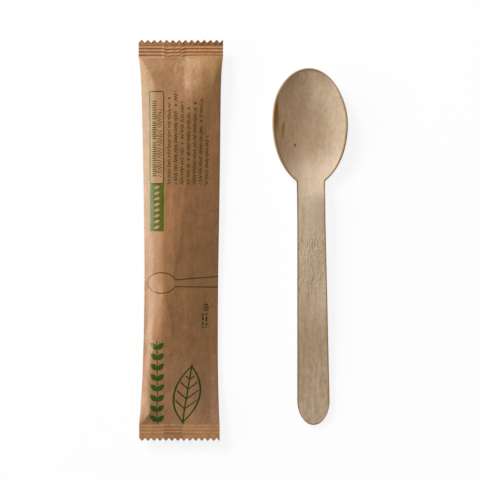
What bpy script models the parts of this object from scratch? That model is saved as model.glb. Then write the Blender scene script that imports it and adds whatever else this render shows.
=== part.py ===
# One wooden spoon sealed in a paper wrapper, with a bare spoon of the same kind beside it.
# Metres, +Z up. Both lie on the plane z = 0 with their long sides along Y and the bowl end at +Y.

import math

import bpy
import numpy as np
from mathutils import Matrix, Vector

# Spoon: a die-cut birch veneer blank, hot-pressed into a bowl. Widths are those of the veneer's
# middle layer, because the rim leans out where it is pressed.
SPOON_LENGTH = 0.160
BOWL_LENGTH = 0.0502
BOWL_WIDTH = 0.0332
BOWL_WIDEST = 0.0245
NECK_WIDTH = 0.0125
NECK_FILLET = 0.0005
HANDLE_STRAIGHT = 0.0180
TAIL_WIDTH = 0.0145
TAIL_ROUND = 0.0110
VENEER = 0.0016
EDGE_ROUND = 0.0004
BOWL_DEPTH = 0.0050
PRESS_MARGIN = 0.0010
PRESS_RUN_OUT = 0.0070
PRESS_SOFTNESS = 0.04

# Wrapper: a paper tube with a fin seam along its back and a crimped seal at each end
SIDE_EASE = 0.0047
END_SLACK = 0.0025
SEAL_BAND = 0.0061
TOOTH_HEIGHT = 0.0014
HALF_TEETH = 27
TOOTH_ROOT = 0.0003
RIB_START = 0.0003
RIB_COUNT = 3
RIB_PITCH = 0.00148
RIB_HEIGHT = 0.00040
LOWER_SEAL_SHARE = 0.953
PAPER = 0.00012
WAIST_WIDTH = 0.0330
WAIST_BELOW_MIDDLE = 0.0141
EDGE_LINE_HEIGHT = 0.0040
AIR_SPACE = 0.0030
SHOULDER_LENGTH = 0.030
BELLY_POWER = 3.2
TABLE_SAG = 0.0004
FIN_WIDTH = 0.0090
FIN_ROOT = 0.0012
SIDE_BOW = 0.00065
SIDE_LEAN = 0.00065

# Layout on the table
GAP_BETWEEN = 0.0224
SPOON_BELOW_MIDDLE = 0.0028
SPOON_TURN = math.radians(0.70)

# Mesh fineness
SPOON_COLUMNS = 14
CORNER_ANGLE = math.radians(45)
BODY_ROWS = 46
ROWS_PER_RIB = 4
SECTION_SAMPLES = 240

# Sizes that follow from the ones above
WRAPPER_WIDTH = BOWL_WIDTH + SIDE_EASE
SEAL_LENGTH = SEAL_BAND + TOOTH_HEIGHT
WRAPPER_LENGTH = SPOON_LENGTH + 2 * (END_SLACK + SEAL_LENGTH)
BODY_END = WRAPPER_LENGTH / 2 - SEAL_LENGTH
CROWN_HEIGHT = BOWL_DEPTH + VENEER + AIR_SPACE - EDGE_LINE_HEIGHT
SET_WIDTH = WRAPPER_WIDTH + GAP_BETWEEN + BOWL_WIDTH
TAPER_START = BOWL_LENGTH + HANDLE_STRAIGHT
TAIL_ROUND_START = SPOON_LENGTH - TAIL_ROUND
BOWL_TAPER = (BOWL_LENGTH - BOWL_WIDEST) / math.sqrt(1 - (NECK_WIDTH / BOWL_WIDTH) ** 2)

# Lines down the front panel of the wrapper, from the upper seal to the lower one. Each point holds a
# station, a place across and a height, as shares of the body's half length, of the half width there
# and of the crown's height above the seals. The section at a station is drawn through every line.
FRONT_LINES = {
    "left_wall": [
        (1.0, -1.0, 0.0), (0.94, -0.92, 0.15), (0.86, -0.86, 0.33), (0.76, -0.84, 0.48),
        (-0.22, -0.88, 0.44), (-0.72, -0.94, 0.36), (-0.95, -0.97, 0.11), (-1.0, -1.0, 0.0),
    ],
    "left_ridge": [
        (1.0, -0.99, 0.0), (0.94, -0.83, 0.22), (0.86, -0.68, 0.48), (0.76, -0.64, 0.75),
        (0.60, -0.72, 0.77), (0.0, -0.74, 0.74), (-0.33, -0.70, 0.77), (-0.50, -0.78, 0.69),
        (-0.72, -0.82, 0.55), (-0.92, -0.84, 0.33), (-1.0, -0.99, 0.0),
    ],
    "crown": [
        (1.0, -0.47, 0.0), (0.94, -0.44, 0.17), (0.86, -0.44, 0.44), (0.76, -0.45, 0.78),
        (0.60, -0.46, 0.97), (0.0, -0.48, 1.0), (-0.33, -0.48, 0.98), (-0.50, -0.51, 0.87),
        (-0.72, -0.50, 0.55), (-0.92, -0.48, 0.25), (-1.0, -0.47, 0.0),
    ],
    "middle": [
        (1.0, -0.16, 0.0), (0.94, -0.16, 0.15), (0.86, -0.17, 0.38), (0.76, -0.17, 0.73),
        (0.60, -0.17, 0.91), (0.0, -0.18, 0.93), (-0.22, -0.18, 0.83), (-0.50, -0.18, 0.71),
        (-0.72, -0.17, 0.43), (-0.92, -0.17, 0.18), (-1.0, -0.17, 0.0),
    ],
    "valley": [
        (1.0, 0.04, 0.0), (0.94, 0.12, 0.08), (0.86, 0.15, 0.29), (0.76, 0.18, 0.63),
        (0.60, 0.17, 0.71), (0.0, 0.18, 0.66), (-0.22, 0.18, 0.54), (-0.50, 0.18, 0.49),
        (-0.72, 0.18, 0.27), (-0.92, 0.17, 0.11), (-1.0, 0.17, 0.0),
    ],
    "beside_valley": [
        (1.0, 0.19, 0.0), (0.94, 0.26, 0.27), (0.86, 0.30, 0.45), (0.76, 0.32, 0.63),
        (0.60, 0.33, 0.54), (0.0, 0.35, 0.49), (-0.22, 0.35, 0.36), (-0.50, 0.35, 0.34),
        (-0.72, 0.34, 0.16), (-0.92, 0.33, 0.08), (-1.0, 0.33, 0.0),
    ],
    "right_side": [
        (1.0, 0.47, 0.0), (0.94, 0.50, 0.36), (0.86, 0.51, 0.51), (0.76, 0.51, 0.48),
        (0.60, 0.52, 0.32), (0.0, 0.54, 0.28), (-0.22, 0.54, 0.14), (-0.50, 0.54, 0.13),
        (-0.72, 0.53, 0.02), (-1.0, 0.47, 0.0),
    ],
    "right_foot": [
        (1.0, 0.92, 0.0), (0.94, 0.88, 0.18), (0.86, 0.74, 0.37), (0.76, 0.71, 0.27),
        (0.60, 0.75, 0.07), (0.0, 0.78, -0.02), (-0.22, 0.79, -0.15), (-0.72, 0.76, -0.22),
        (-0.92, 0.75, -0.12), (-1.0, 0.78, 0.0),
    ],
}
# Heights of the wrapper's two side edges above the seals: station, share of the seals' own height
SIDE_EDGES = {
    "left": [(1.0, 0.0), (0.85, 0.22), (0.73, 0.32), (-0.60, 0.32), (-0.80, 0.25), (-1.0, 0.0)],
    "right": [
        (1.0, 0.0), (0.90, -0.03), (0.75, -0.18), (0.55, -0.30), (0.0, -0.48), (-0.24, -0.60),
        (-0.73, -0.60), (-0.90, -0.42), (-1.0, 0.0),
    ],
}
LINE_ROUNDING = 0.0020
SECTION_ROUNDING = 0.0013

# Smaller folds in the front panel. A path's points are shares of half the flat paper's width and
# half its length, measured from its middle, and reach is how far a fold is felt beside its path.
FOLDS = {
    "middle_ridge": {
        "path": [(0.10, 0.19), (0.02, 0.06), (-0.06, -0.08)],
        "height": 0.0003,
        "reach": 0.0028,
    },
    "lower_ridge": {
        "path": [(-0.44, -0.25), (-0.30, -0.33), (-0.21, -0.44)],
        "height": 0.0006,
        "reach": 0.0034,
    },
    "lower_left_ridge": {
        "path": [(-0.92, -0.48), (-0.66, -0.51), (-0.52, -0.55)],
        "height": 0.0004,
        "reach": 0.0022,
    },
}
FOLD_SHARPNESS = 1.4


def clear_scene():
    for obj in list(bpy.data.objects):
        bpy.data.objects.remove(obj, do_unlink=True)


def material(name, colour, roughness, metallic=0.0):
    made = bpy.data.materials.new(name)
    made.use_nodes = True
    shader = made.node_tree.nodes["Principled BSDF"]
    shader.inputs["Base Color"].default_value = (*colour, 1.0)
    shader.inputs["Roughness"].default_value = roughness
    shader.inputs["Metallic"].default_value = metallic
    return made


def mesh_object(name, points, faces, finish, smooth_angle):
    mesh = bpy.data.meshes.new(name)
    mesh.from_pydata([tuple(point) for point in points], [], faces)
    mesh.update()
    mesh.shade_smooth()
    mesh.set_sharp_from_angle(angle=smooth_angle)
    mesh.materials.append(finish)
    obj = bpy.data.objects.new(name, mesh)
    bpy.context.scene.collection.objects.link(obj)
    return obj


def ease(share):
    """0 to 1 with no slope at either end."""
    share = np.clip(share, 0.0, 1.0)
    return share * share * (3 - 2 * share)


# The spoon's blank

def outline_half_width(station):
    """Half the blank's width at a distance from the bowl's tip, up to where the tail is rounded."""
    down_handle = np.clip((station - TAPER_START) / (TAIL_ROUND_START - TAPER_START), 0, 1)
    handle = (NECK_WIDTH + (TAIL_WIDTH - NECK_WIDTH) * down_handle) / 2
    half_axis = BOWL_WIDEST if station < BOWL_WIDEST else BOWL_TAPER
    inside = max(0.0, 1 - ((station - BOWL_WIDEST) / half_axis) ** 2)
    bowl = BOWL_WIDTH / 2 * math.sqrt(inside)
    if station < BOWL_WIDEST:
        return bowl
    return (bowl + handle + math.hypot(bowl - handle, NECK_FILLET)) / 2


def tail_half_width(station):
    return TAIL_WIDTH / 2 * math.sqrt(max(0.0, 1 - ((station - TAIL_ROUND_START) / TAIL_ROUND) ** 2))


def press_depth(across, station):
    """How far the press pushes the veneer down at a point of the blank."""
    towards_tip = station < BOWL_WIDEST
    reach = BOWL_WIDEST + PRESS_MARGIN if towards_tip else BOWL_LENGTH - BOWL_WIDEST + PRESS_RUN_OUT
    side = BOWL_WIDTH / 2 + PRESS_MARGIN
    inside = 1 - ((station - BOWL_WIDEST) / reach) ** 2 - (across / side) ** 2
    return BOWL_DEPTH * (inside + math.hypot(inside, PRESS_SOFTNESS)) / 2


def spoon_stations(tip_corner, tail_corner):
    """Where the rows of the blank end on its outline: closer together where it curves."""
    press_end = BOWL_LENGTH + PRESS_RUN_OUT
    bowl = np.linspace(tip_corner, BOWL_LENGTH - 4 * NECK_FILLET, 17)
    corner = BOWL_LENGTH + NECK_FILLET * np.array([-2.0, 0.0, 2.0])
    run_out = np.linspace(BOWL_LENGTH + 5 * NECK_FILLET, press_end + PRESS_RUN_OUT / 3, 5)
    handle = np.linspace(press_end + PRESS_RUN_OUT, TAIL_ROUND_START, 10)
    tail = np.linspace(TAIL_ROUND_START, tail_corner, 4)[1:]
    return np.concatenate([bowl, corner, run_out, handle, tail])


def spoon_blank():
    """A grid with no poles: the rows bow out to the outline's own curve at the tip and at the tail."""
    angles = np.linspace(-CORNER_ANGLE, CORNER_ANGLE, SPOON_COLUMNS + 1)
    bow = (np.cos(angles) - math.cos(CORNER_ANGLE)) / (1 - math.cos(CORNER_ANGLE))
    spread = np.sin(angles) / math.sin(CORNER_ANGLE)
    tip_corner = BOWL_WIDEST * (1 - math.cos(CORNER_ANGLE))
    tail_corner = SPOON_LENGTH - TAIL_ROUND * (1 - math.cos(CORNER_ANGLE))
    points = []
    stations = spoon_stations(tip_corner, tail_corner)
    for station in stations:
        on_tail = station > TAIL_ROUND_START
        half_width = tail_half_width(station) if on_tail else outline_half_width(station)
        tip_share = float(ease(1 - (station - tip_corner) / BOWL_WIDEST))
        tail_share = float(ease(1 - (tail_corner - station) / (2 * TAIL_ROUND)))
        for share, lift in zip(spread, bow):
            along = station - tip_share * tip_corner * lift
            along += tail_share * (SPOON_LENGTH - tail_corner) * lift
            across = half_width * share
            points.append((across, -along, -press_depth(across, along)))
    width = SPOON_COLUMNS + 1
    faces = []
    for row in range(len(stations) - 1):
        for column in range(SPOON_COLUMNS):
            first = row * width + column
            faces.append((first, first + width, first + width + 1, first + 1))
    return points, faces


def resting_slope():
    """Slope of the line that touches both the bowl's underside and the tail's."""
    reach = BOWL_LENGTH - BOWL_WIDEST + PRESS_RUN_OUT
    to_tail = SPOON_LENGTH - EDGE_ROUND - BOWL_WIDEST
    touch = to_tail - math.sqrt(to_tail**2 - reach**2)
    return 2 * BOWL_DEPTH * touch / reach**2


def lowest_point(obj):
    graph = bpy.context.evaluated_depsgraph_get()
    evaluated = obj.evaluated_get(graph)
    mesh = evaluated.to_mesh()
    height = min((obj.matrix_world @ vertex.co).z for vertex in mesh.vertices)
    evaluated.to_mesh_clear()
    return height


def wooden_spoon():
    points, faces = spoon_blank()
    finish = material("birch_veneer", (0.54, 0.40, 0.27), 0.62)
    spoon = mesh_object("wooden_spoon", points, faces, finish, math.radians(40))
    thickness = spoon.modifiers.new("veneer_thickness", "SOLIDIFY")
    thickness.thickness = VENEER
    thickness.offset = 0.0
    thickness.use_even_offset = True
    rounding = spoon.modifiers.new("tumbled_edges", "BEVEL")
    rounding.width = EDGE_ROUND
    rounding.segments = 2
    rounding.limit_method = "ANGLE"
    rounding.angle_limit = math.radians(50)
    bowl_x = (SET_WIDTH - BOWL_WIDTH) / 2
    bowl_y = SPOON_LENGTH / 2 - SPOON_BELOW_MIDDLE - BOWL_WIDEST
    place = Matrix.Translation((bowl_x, bowl_y, 0))
    turn = Matrix.Rotation(SPOON_TURN, 4, "Z")
    tilt = Matrix.Rotation(math.atan(resting_slope()), 4, "X")
    from_tip = Matrix.Translation((0, BOWL_WIDEST, 0))
    spoon.matrix_world = place @ turn @ tilt @ from_tip
    bpy.context.view_layer.update()
    spoon.location.z -= lowest_point(spoon)
    return spoon


# The wrapper's form

def wrapper_half_width(along):
    """Half the width seen from above: full at the seals, drawn in where the tube is puffed out."""
    waist = -WAIST_BELOW_MIDDLE
    if along > waist:
        share = min(1.0, (along - waist) / (BODY_END - waist))
        full = WRAPPER_WIDTH
        drawn = 0.60 * share**1.1 + 0.40 * share**14
    else:
        share = min(1.0, (waist - along) / (BODY_END + waist))
        full = WRAPPER_WIDTH * LOWER_SEAL_SHARE
        drawn = share**3.2
    return (WAIST_WIDTH + (full - WAIST_WIDTH) * drawn) / 2


def puff(along):
    """0 on the seals, 1 where the tube is fully open."""
    inside = np.clip((BODY_END - abs(along)) / SHOULDER_LENGTH, 0.0, 1.0)
    return float(np.sin(inside * math.pi / 2) ** 1.2)


def middle_line(along):
    """How far the tube's middle lies to the right: bowed, and leaning to the left lower down."""
    share = min(1.0, max(-1.0, along / BODY_END))
    return SIDE_BOW * (1 - share**2) - SIDE_LEAN * (1 - share) / 2


def rounded(spots, knots, values, reach):
    """Straight lines from knot to knot, rounded off within reach of each but fixed at both ends."""
    reach = np.minimum(reach, np.minimum(spots - knots[0], knots[-1] - spots))
    near = spots + reach * np.linspace(-1, 1, 11)[:, None]
    return np.interp(near, knots, values).mean(axis=0)


def line_share(points, along, column):
    """Value of a line's given column where it crosses a station."""
    ordered = np.array(points[::-1])
    station = np.array([min(1.0, max(-1.0, along / BODY_END))])
    return float(rounded(station, ordered[:, 0], ordered[:, column], LINE_ROUNDING / BODY_END)[0])


def edge_lift(side, along):
    return EDGE_LINE_HEIGHT * line_share(SIDE_EDGES[side], along, 1)


def by_length(across, up, shares):
    """Points at the given shares of a section's own length, as flat paper bends."""
    run = np.concatenate([[0], np.cumsum(np.hypot(np.diff(across), np.diff(up)))])
    run /= run[-1]
    return np.interp(shares, run, across), np.interp(shares, run, up)


def front_section(along, shares):
    """The front panel's section, through its lines and down to both side edges."""
    half_width = wrapper_half_width(along)
    lines = FRONT_LINES.values()
    knots = [-1.0, *(line_share(points, along, 1) for points in lines), 1.0]
    heights = [CROWN_HEIGHT * line_share(points, along, 2) for points in lines]
    heights = [edge_lift("left", along), *heights, edge_lift("right", along)]
    knots = half_width * np.maximum.accumulate(knots)
    across = np.linspace(-half_width, half_width, SECTION_SAMPLES)
    return by_length(across, rounded(across, knots, heights, SECTION_ROUNDING), shares)


def belly_section(along, shares):
    """Half a superellipse: the underside, which the table presses flat."""
    depth = (EDGE_LINE_HEIGHT - 3 * PAPER + TABLE_SAG) * puff(along)
    angle = np.linspace(math.pi, 0, SECTION_SAMPLES)
    across = np.sign(np.cos(angle)) * np.abs(np.cos(angle)) ** (2 / BELLY_POWER)
    down = depth * np.abs(np.sin(angle)) ** (2 / BELLY_POWER)
    return by_length(wrapper_half_width(along) * across, down, shares)


def nearest_on_path(spot, path):
    """Distance from a point on the flat paper to a fold's path, and the share of the path passed there."""
    spot = Vector(spot)
    corners = [Vector(corner) for corner in path]
    total = sum((end - start).length for start, end in zip(corners, corners[1:]))
    nearest, travelled = (math.inf, 0.0), 0.0
    for start, end in zip(corners, corners[1:]):
        run = end - start
        share = min(1.0, max(0.0, (spot - start).dot(run) / run.length_squared))
        away = (spot - start - run * share).length
        nearest = min(nearest, (away, (travelled + share * run.length) / total))
        travelled += run.length
    return nearest


def fold_height(across, along):
    """Sum of the ridges and valleys at a point of the front panel. Each dies out at its path's ends."""
    total = 0.0
    for fold in FOLDS.values():
        path = [(x * WRAPPER_WIDTH / 2, y * WRAPPER_LENGTH / 2) for x, y in fold["path"]]
        away, passed = nearest_on_path((across, along), path)
        fade = math.sin(math.pi * (0.08 + 0.84 * passed)) ** 0.6
        total += fold["height"] * fade * math.exp(-((away / fold["reach"]) ** FOLD_SHARPNESS))
    return total


def rib(along):
    """Height of the crimp's ribs, which press both papers together."""
    past_start = abs(along) - BODY_END - RIB_START
    if past_start <= 0 or past_start >= RIB_COUNT * RIB_PITCH:
        return 0.0
    return RIB_HEIGHT / 2 * (1 - math.cos(2 * math.pi * past_start / RIB_PITCH))


def front_panel(along, shares):
    across, up = front_section(along, shares)
    flat = (shares - 0.5) * WRAPPER_WIDTH
    rise = [fold_height(x, along) * puff(along) ** 0.5 for x in flat]
    inner = np.sin(math.pi * shares) ** 0.5
    height = EDGE_LINE_HEIGHT + PAPER + up + np.array(rise) * inner + rib(along)
    return list(zip(across + middle_line(along), [along] * len(shares), height))


def back_panel(along, shares, fin_marks):
    """The underside, with the fin's two papers folded over below it."""
    across, down = belly_section(along, shares)
    lean = edge_lift("left", along) * (1 - shares) + edge_lift("right", along) * shares
    height = np.maximum(EDGE_LINE_HEIGHT - PAPER + lean - down + rib(along), 2 * PAPER)
    height = height - 2 * PAPER * np.array(fin_marks)
    return list(zip(across + middle_line(along), [along] * len(shares), height))


def fin_columns(shares):
    """Column shares with the fin's two edges doubled, and 1 for each point on the fin."""
    moved, marked = shares.copy(), []
    for edge in (FIN_ROOT - FIN_WIDTH, FIN_ROOT):
        edge_share = 0.5 + edge / WRAPPER_WIDTH
        marked.append(int(np.argmin(np.abs(shares - edge_share))))
        moved[marked[-1]] = edge_share
    columns, on_fin = [], []
    for index, share in enumerate(moved):
        inside = marked[0] < index < marked[1]
        if index in marked:
            columns += [share, share]
            on_fin += [0, 1] if index == marked[0] else [1, 0]
        else:
            columns.append(share)
            on_fin.append(int(inside))
    return np.array(columns), on_fin


def wrapper_rows():
    """Lengthwise stations from the upper cut to the lower one, without the toothed ends."""
    step = RIB_PITCH / ROWS_PER_RIB
    ribs = BODY_END + RIB_START + step * np.arange(RIB_COUNT * ROWS_PER_RIB + 1)
    last = WRAPPER_LENGTH / 2 - TOOTH_HEIGHT - TOOTH_ROOT
    seal = np.concatenate([ribs, [last]])
    even = np.linspace(BODY_END, -BODY_END, BODY_ROWS)
    close_at_ends = BODY_END * np.sin(np.linspace(math.pi / 2, -math.pi / 2, BODY_ROWS))
    return np.concatenate([seal[::-1], (even + close_at_ends) / 2, -seal])


def wrapper_ring(along, shares, back_shares, on_fin):
    return front_panel(along, shares) + back_panel(along, back_shares, on_fin)[::-1]


def toothed_ring(ring, columns, end, first_is_point):
    """The ring next to a cut end, its points moved out to the zigzag of the cut."""
    moved = []
    for (x, _, z), column in zip(ring, columns):
        is_point = (column % 2 == 0) == first_is_point
        moved.append((x, end * (WRAPPER_LENGTH / 2 - (0 if is_point else TOOTH_HEIGHT)), z))
    return moved


def end_cap(back_columns, count, row, turned):
    """The cut edge of the papers: one face for each half tooth, and a corner at each side of the fin."""
    faces = []
    back = range(count - 1, HALF_TEETH, -1)
    for low, high, column, following in zip(back, back[1:], back_columns, back_columns[1:]):
        face = [column, low, high]
        if following > column:
            face.append(following)
        face = [row * count + corner for corner in face]
        faces.append(face[::-1] if turned else face)
    return faces


def paper_wrapper():
    columns = np.arange(HALF_TEETH + 1)
    shares = columns / HALF_TEETH
    back_shares, on_fin = fin_columns(shares)
    back_columns = np.rint(back_shares * HALF_TEETH).astype(int)
    rings = [wrapper_ring(along, shares, back_shares, on_fin) for along in wrapper_rows()]
    ring_columns = np.concatenate([columns, back_columns[::-1]])
    upper_cut = toothed_ring(rings[0], ring_columns, 1, first_is_point=False)
    lower_cut = toothed_ring(rings[-1], ring_columns, -1, first_is_point=True)
    rings = [upper_cut, *rings, lower_cut]
    count = len(upper_cut)
    faces = []
    for row in range(len(rings) - 1):
        for column in range(count):
            following = (column + 1) % count
            quad = (column, column + count, following + count, following)
            faces.append([row * count + corner for corner in quad])
    faces += end_cap(back_columns, count, 0, turned=True)
    faces += end_cap(back_columns, count, len(rings) - 1, turned=False)
    points = [point for ring in rings for point in ring]
    finish = material("kraft_paper", (0.42, 0.26, 0.15), 0.55)
    wrapper = mesh_object("paper_wrapper", points, faces, finish, math.radians(50))
    wrapper.location.x = (WRAPPER_WIDTH - SET_WIDTH) / 2
    bpy.context.view_layer.update()
    wrapper.location.z -= lowest_point(wrapper)
    return wrapper


clear_scene()
paper_wrapper()
wooden_spoon()
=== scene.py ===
import math

import bpy
import numpy as np
from mathutils import Matrix, Vector, noise


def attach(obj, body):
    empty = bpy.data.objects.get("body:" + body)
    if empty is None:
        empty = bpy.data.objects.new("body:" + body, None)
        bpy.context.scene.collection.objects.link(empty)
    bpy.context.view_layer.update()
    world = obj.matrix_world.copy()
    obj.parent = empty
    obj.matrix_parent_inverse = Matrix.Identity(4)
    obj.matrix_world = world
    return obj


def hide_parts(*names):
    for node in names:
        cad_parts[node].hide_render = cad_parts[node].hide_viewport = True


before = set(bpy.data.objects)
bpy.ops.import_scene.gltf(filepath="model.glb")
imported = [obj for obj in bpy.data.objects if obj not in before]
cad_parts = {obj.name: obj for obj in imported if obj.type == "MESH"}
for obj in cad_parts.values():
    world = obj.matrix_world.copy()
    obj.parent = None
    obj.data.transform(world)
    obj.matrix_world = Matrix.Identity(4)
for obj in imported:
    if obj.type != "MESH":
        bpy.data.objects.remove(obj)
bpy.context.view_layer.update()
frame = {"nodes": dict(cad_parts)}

mm = 0.001
bpy.context.scene.view_settings.view_transform = "Standard"
print("frame loaded")


# Nodes

def giveSocket(tree, source, socket):
    # A link where the source is another socket, and else a value on the socket itself
    if isinstance(source, Sum):
        source = source.value
    if isinstance(source, bpy.types.NodeSocket):
        tree.links.new(source, socket)
    else:
        socket.default_value = source


def feed(tree, node, inputs):
    for name, source in inputs.items():
        giveSocket(tree, source, node.inputs[name])


def addNode(tree, kind, inputs, **settings):
    node = tree.nodes.new(kind)
    for name, value in settings.items():
        setattr(node, name, value)
    feed(tree, node, inputs)
    return node


def stepOf(operation):
    return lambda self, *others: self.step(operation, *others)


class Sum:
    # Sums on node sockets, written like plain arithmetic, for geometry and for materials
    def __init__(self, tree, value):
        self.tree = tree
        self.value = value

    def step(self, operation, *others, clamp=False):
        inputs = dict(enumerate((self, *others)))
        node = addNode(self.tree, "ShaderNodeMath", inputs, operation=operation, use_clamp=clamp)
        return Sum(self.tree, node.outputs[0])

    def ramp(self, start, end):
        # 0 at start, 1 at end, with no kink at either
        inputs = dict(enumerate((self, start, end)))
        node = addNode(self.tree, "ShaderNodeMapRange", inputs, interpolation_type="SMOOTHSTEP")
        return Sum(self.tree, node.outputs[0])

    __add__ = __radd__ = stepOf("ADD")
    __sub__ = stepOf("SUBTRACT")
    __mul__ = __rmul__ = stepOf("MULTIPLY")
    __truediv__ = stepOf("DIVIDE")
    power = stepOf("POWER")
    sin = stepOf("SINE")
    cos = stepOf("COSINE")
    size = stepOf("ABSOLUTE")
    below = stepOf("LESS_THAN")
    above = stepOf("GREATER_THAN")
    atLeast = stepOf("MAXIMUM")
    atMost = stepOf("MINIMUM")
    whole = stepOf("FLOOR")
    fraction = stepOf("FRACT")

    def __neg__(self):
        return self * -1.0

    def __rsub__(self, other):
        return -self + other

    def squared(self):
        return self * self

    def root(self):
        return self.atLeast(0.0).step("SQRT")

    def clamped(self):
        return self.step("ADD", 0.0, clamp=True)


def zone(value, start, full, fading, end):
    # Rises from start to full, and falls again from fading to end
    return value.ramp(start, full) * (1 - value.ramp(fading, end))


def choose(isFirst, first, second):
    return second + isFirst * (first - second)


def length2(a, b):
    return (a.squared() + b.squared()).root()


# Geometry trees

def newShapeTree(name, settings):
    tree = bpy.data.node_groups.new(name, "GeometryNodeTree")
    tree.interface.new_socket("Geometry", in_out="INPUT", socket_type="NodeSocketGeometry")
    tree.interface.new_socket("Geometry", in_out="OUTPUT", socket_type="NodeSocketGeometry")
    for key, value in settings.items():
        kind = "NodeSocketInt" if isinstance(value, int) else "NodeSocketFloat"
        tree.interface.new_socket(key, in_out="INPUT", socket_type=kind)
    entry = tree.nodes.new("NodeGroupInput")
    numbers = {key: Sum(tree, entry.outputs[key]) for key in settings}
    return tree, entry, numbers


def finishTree(tree, geometry, material):
    realize = addNode(tree, "GeometryNodeRealizeInstances", {"Geometry": geometry})
    paint = addNode(tree, "GeometryNodeSetMaterial", {"Geometry": realize.outputs[0], "Material": material})
    addNode(tree, "NodeGroupOutput", {0: paint.outputs[0]})


def addTree(piece, tree, settings):
    modifier = piece.modifiers.new(tree.name, "NODES")
    modifier.node_group = tree
    for item in tree.interface.items_tree:
        if item.in_out == "INPUT" and item.name in settings:
            modifier[item.identifier] = settings[item.name]


def movePoints(tree, geometry, socket, *places):
    vector = addNode(tree, "ShaderNodeCombineXYZ", dict(enumerate(places))).outputs[0]
    return addNode(tree, "GeometryNodeSetPosition", {"Geometry": geometry, socket: vector}).outputs[0]


def storeNumber(tree, geometry, name, value):
    inputs = {"Geometry": geometry, "Name": name, "Value": value}
    kind = "GeometryNodeStoreNamedAttribute"
    return addNode(tree, kind, inputs, data_type="FLOAT", domain="POINT").outputs[0]


def readNumber(tree, name):
    node = addNode(tree, "GeometryNodeInputNamedAttribute", {"Name": name}, data_type="FLOAT")
    return Sum(tree, node.outputs[0])


def pointPlace(tree):
    position = addNode(tree, "GeometryNodeInputPosition", {})
    split = addNode(tree, "ShaderNodeSeparateXYZ", {0: position.outputs[0]})
    return [Sum(tree, output) for output in split.outputs]


def settle(piece):
    # Turns what the modifiers make into a plain mesh whose lowest point is on the table
    bpy.context.view_layer.update()
    graph = bpy.context.evaluated_depsgraph_get()
    mesh = bpy.data.meshes.new_from_object(piece.evaluated_get(graph))
    lowest = min(vertex.co.z for vertex in mesh.vertices)
    mesh.transform(Matrix.Translation((0, 0, -lowest)))
    piece.modifiers.clear()
    piece.data = mesh
    mesh.shade_smooth()
    return mesh


def addObject(name, data):
    thing = bpy.data.objects.new(name, data)
    bpy.context.scene.collection.objects.link(thing)
    return thing


# Materials

def newMaterial(name):
    material = bpy.data.materials.new(name)
    material.use_nodes = True
    return material, material.node_tree, material.node_tree.nodes["Principled BSDF"]


def readPoint(tree, name):
    return Sum(tree, addNode(tree, "ShaderNodeAttribute", {}, attribute_name=name).outputs["Fac"])


def grainNoise(tree, place, scale, detail, rough, stretch, distortion):
    # A stretch above 1 packs the pattern closer on that axis
    packed = [scale * part for part in (*stretch, 1.0)]
    place = addNode(tree, "ShaderNodeMapping", {"Vector": place, "Scale": packed}).outputs[0]
    inputs = {"Vector": place, "Scale": 1.0, "Detail": detail, "Roughness": rough, "Distortion": distortion}
    return Sum(tree, addNode(tree, "ShaderNodeTexNoise", inputs).outputs["Fac"])


def fromOval(across, along, oval):
    # 0 at an oval's middle and 1 on its rim, squared
    middleX, middleY, halfWide, halfLong = oval
    return ((across - middleX) / halfWide).squared() + ((along - middleY) / halfLong).squared()


def mixColour(tree, amount, first, second, blend="MIX"):
    inputs = {"Factor": amount, "A": first, "B": second}
    for name in ("A", "B"):
        if isinstance(inputs[name], tuple):
            inputs[name] = (*inputs[name], 1.0)
    return addNode(tree, "ShaderNodeMix", inputs, data_type="RGBA", blend_type=blend).outputs["Result"]


def tinted(tree, amount, colour, tint):
    return mixColour(tree, amount, colour, mixColour(tree, 1.0, colour, tint, "MULTIPLY"))


def bumped(tree, height, distance):
    inputs = {"Strength": 1.0, "Distance": distance, "Height": height}
    return addNode(tree, "ShaderNodeBump", inputs).outputs[0]


# Layout, the same as the solids'

layout = {
    "wrapperX": -27.8,
    "spoonX": 30.22,
    "bowlY": 52.7,
    "spoonTurn": math.radians(0.70),
}


# Wooden spoon

spoonSizes = {
    "columns": 56, "rows": 340, "spoonLength": 160.0, "bowlLength": 50.2, "bowlWidth": 33.2,
    "bowlWidest": 24.5, "neckWidth": 12.6, "neckFillet": 0.5, "handleStraight": 18.0, "tipLean": 0.5,
    "tipLeanReach": 15.0, "tailWidth": 14.5, "tailRound": 11.0, "bowlDepth": 4.5, "sideMargin": 0.6,
    "tipMargin": 3.0, "pressRunOut": 7.0, "pressSoftness": 0.05, "bendSoftness": 0.12,
    "bendStart": 40.0, "bendEnd": 56.0, "lengthPower": 2.6, "neckFlatStart": 40.0, "neckFlatEnd": 57.0,
    "neckFlatShare": 0.5, "cornerAngle": math.radians(45),
}
veneer = {"thickness": 1.6, "edgeRound": 0.42, "edgeSteps": 4, "edgeAngle": math.radians(50)}

birch = {
    "pale": (0.585, 0.452, 0.318), "tan": (0.370, 0.256, 0.153), "brown": (0.30, 0.18, 0.09),
    "bowlShadeTint": (1.0, 0.86, 0.70), "cutEdge": (0.215, 0.100, 0.012), "litRightEdge": (0.42, 0.23, 0.08),
    "stain": (0.23, 0.116, 0.0), "speck": (0.04, 0.025, 0.005), "roughness": 0.42, "edgeGloss": 0.10,
    "sheen": 1.0, "relief": 0.00012,
}
# Patterns in the wood: cells per metre, detail, roughness, stretch across and along, distortion
birchGrain = {
    "figure": (90, 3, 0.55, (1.0, 0.16), 0.6),
    "streaks": (900, 3, 0.6, (1.0, 0.045), 0.4),
    "fibres": (2600, 2, 0.6, (1.0, 0.05), 0.0),
    "flame": (760, 2, 0.6, (1.0, 0.34), 1.4),
    "patches": (45, 2, 0.5, (1.0, 0.5), 0.0),
    "pores": (700, 2, 0.6, (1.0, 0.55), 0.0),
}
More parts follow.
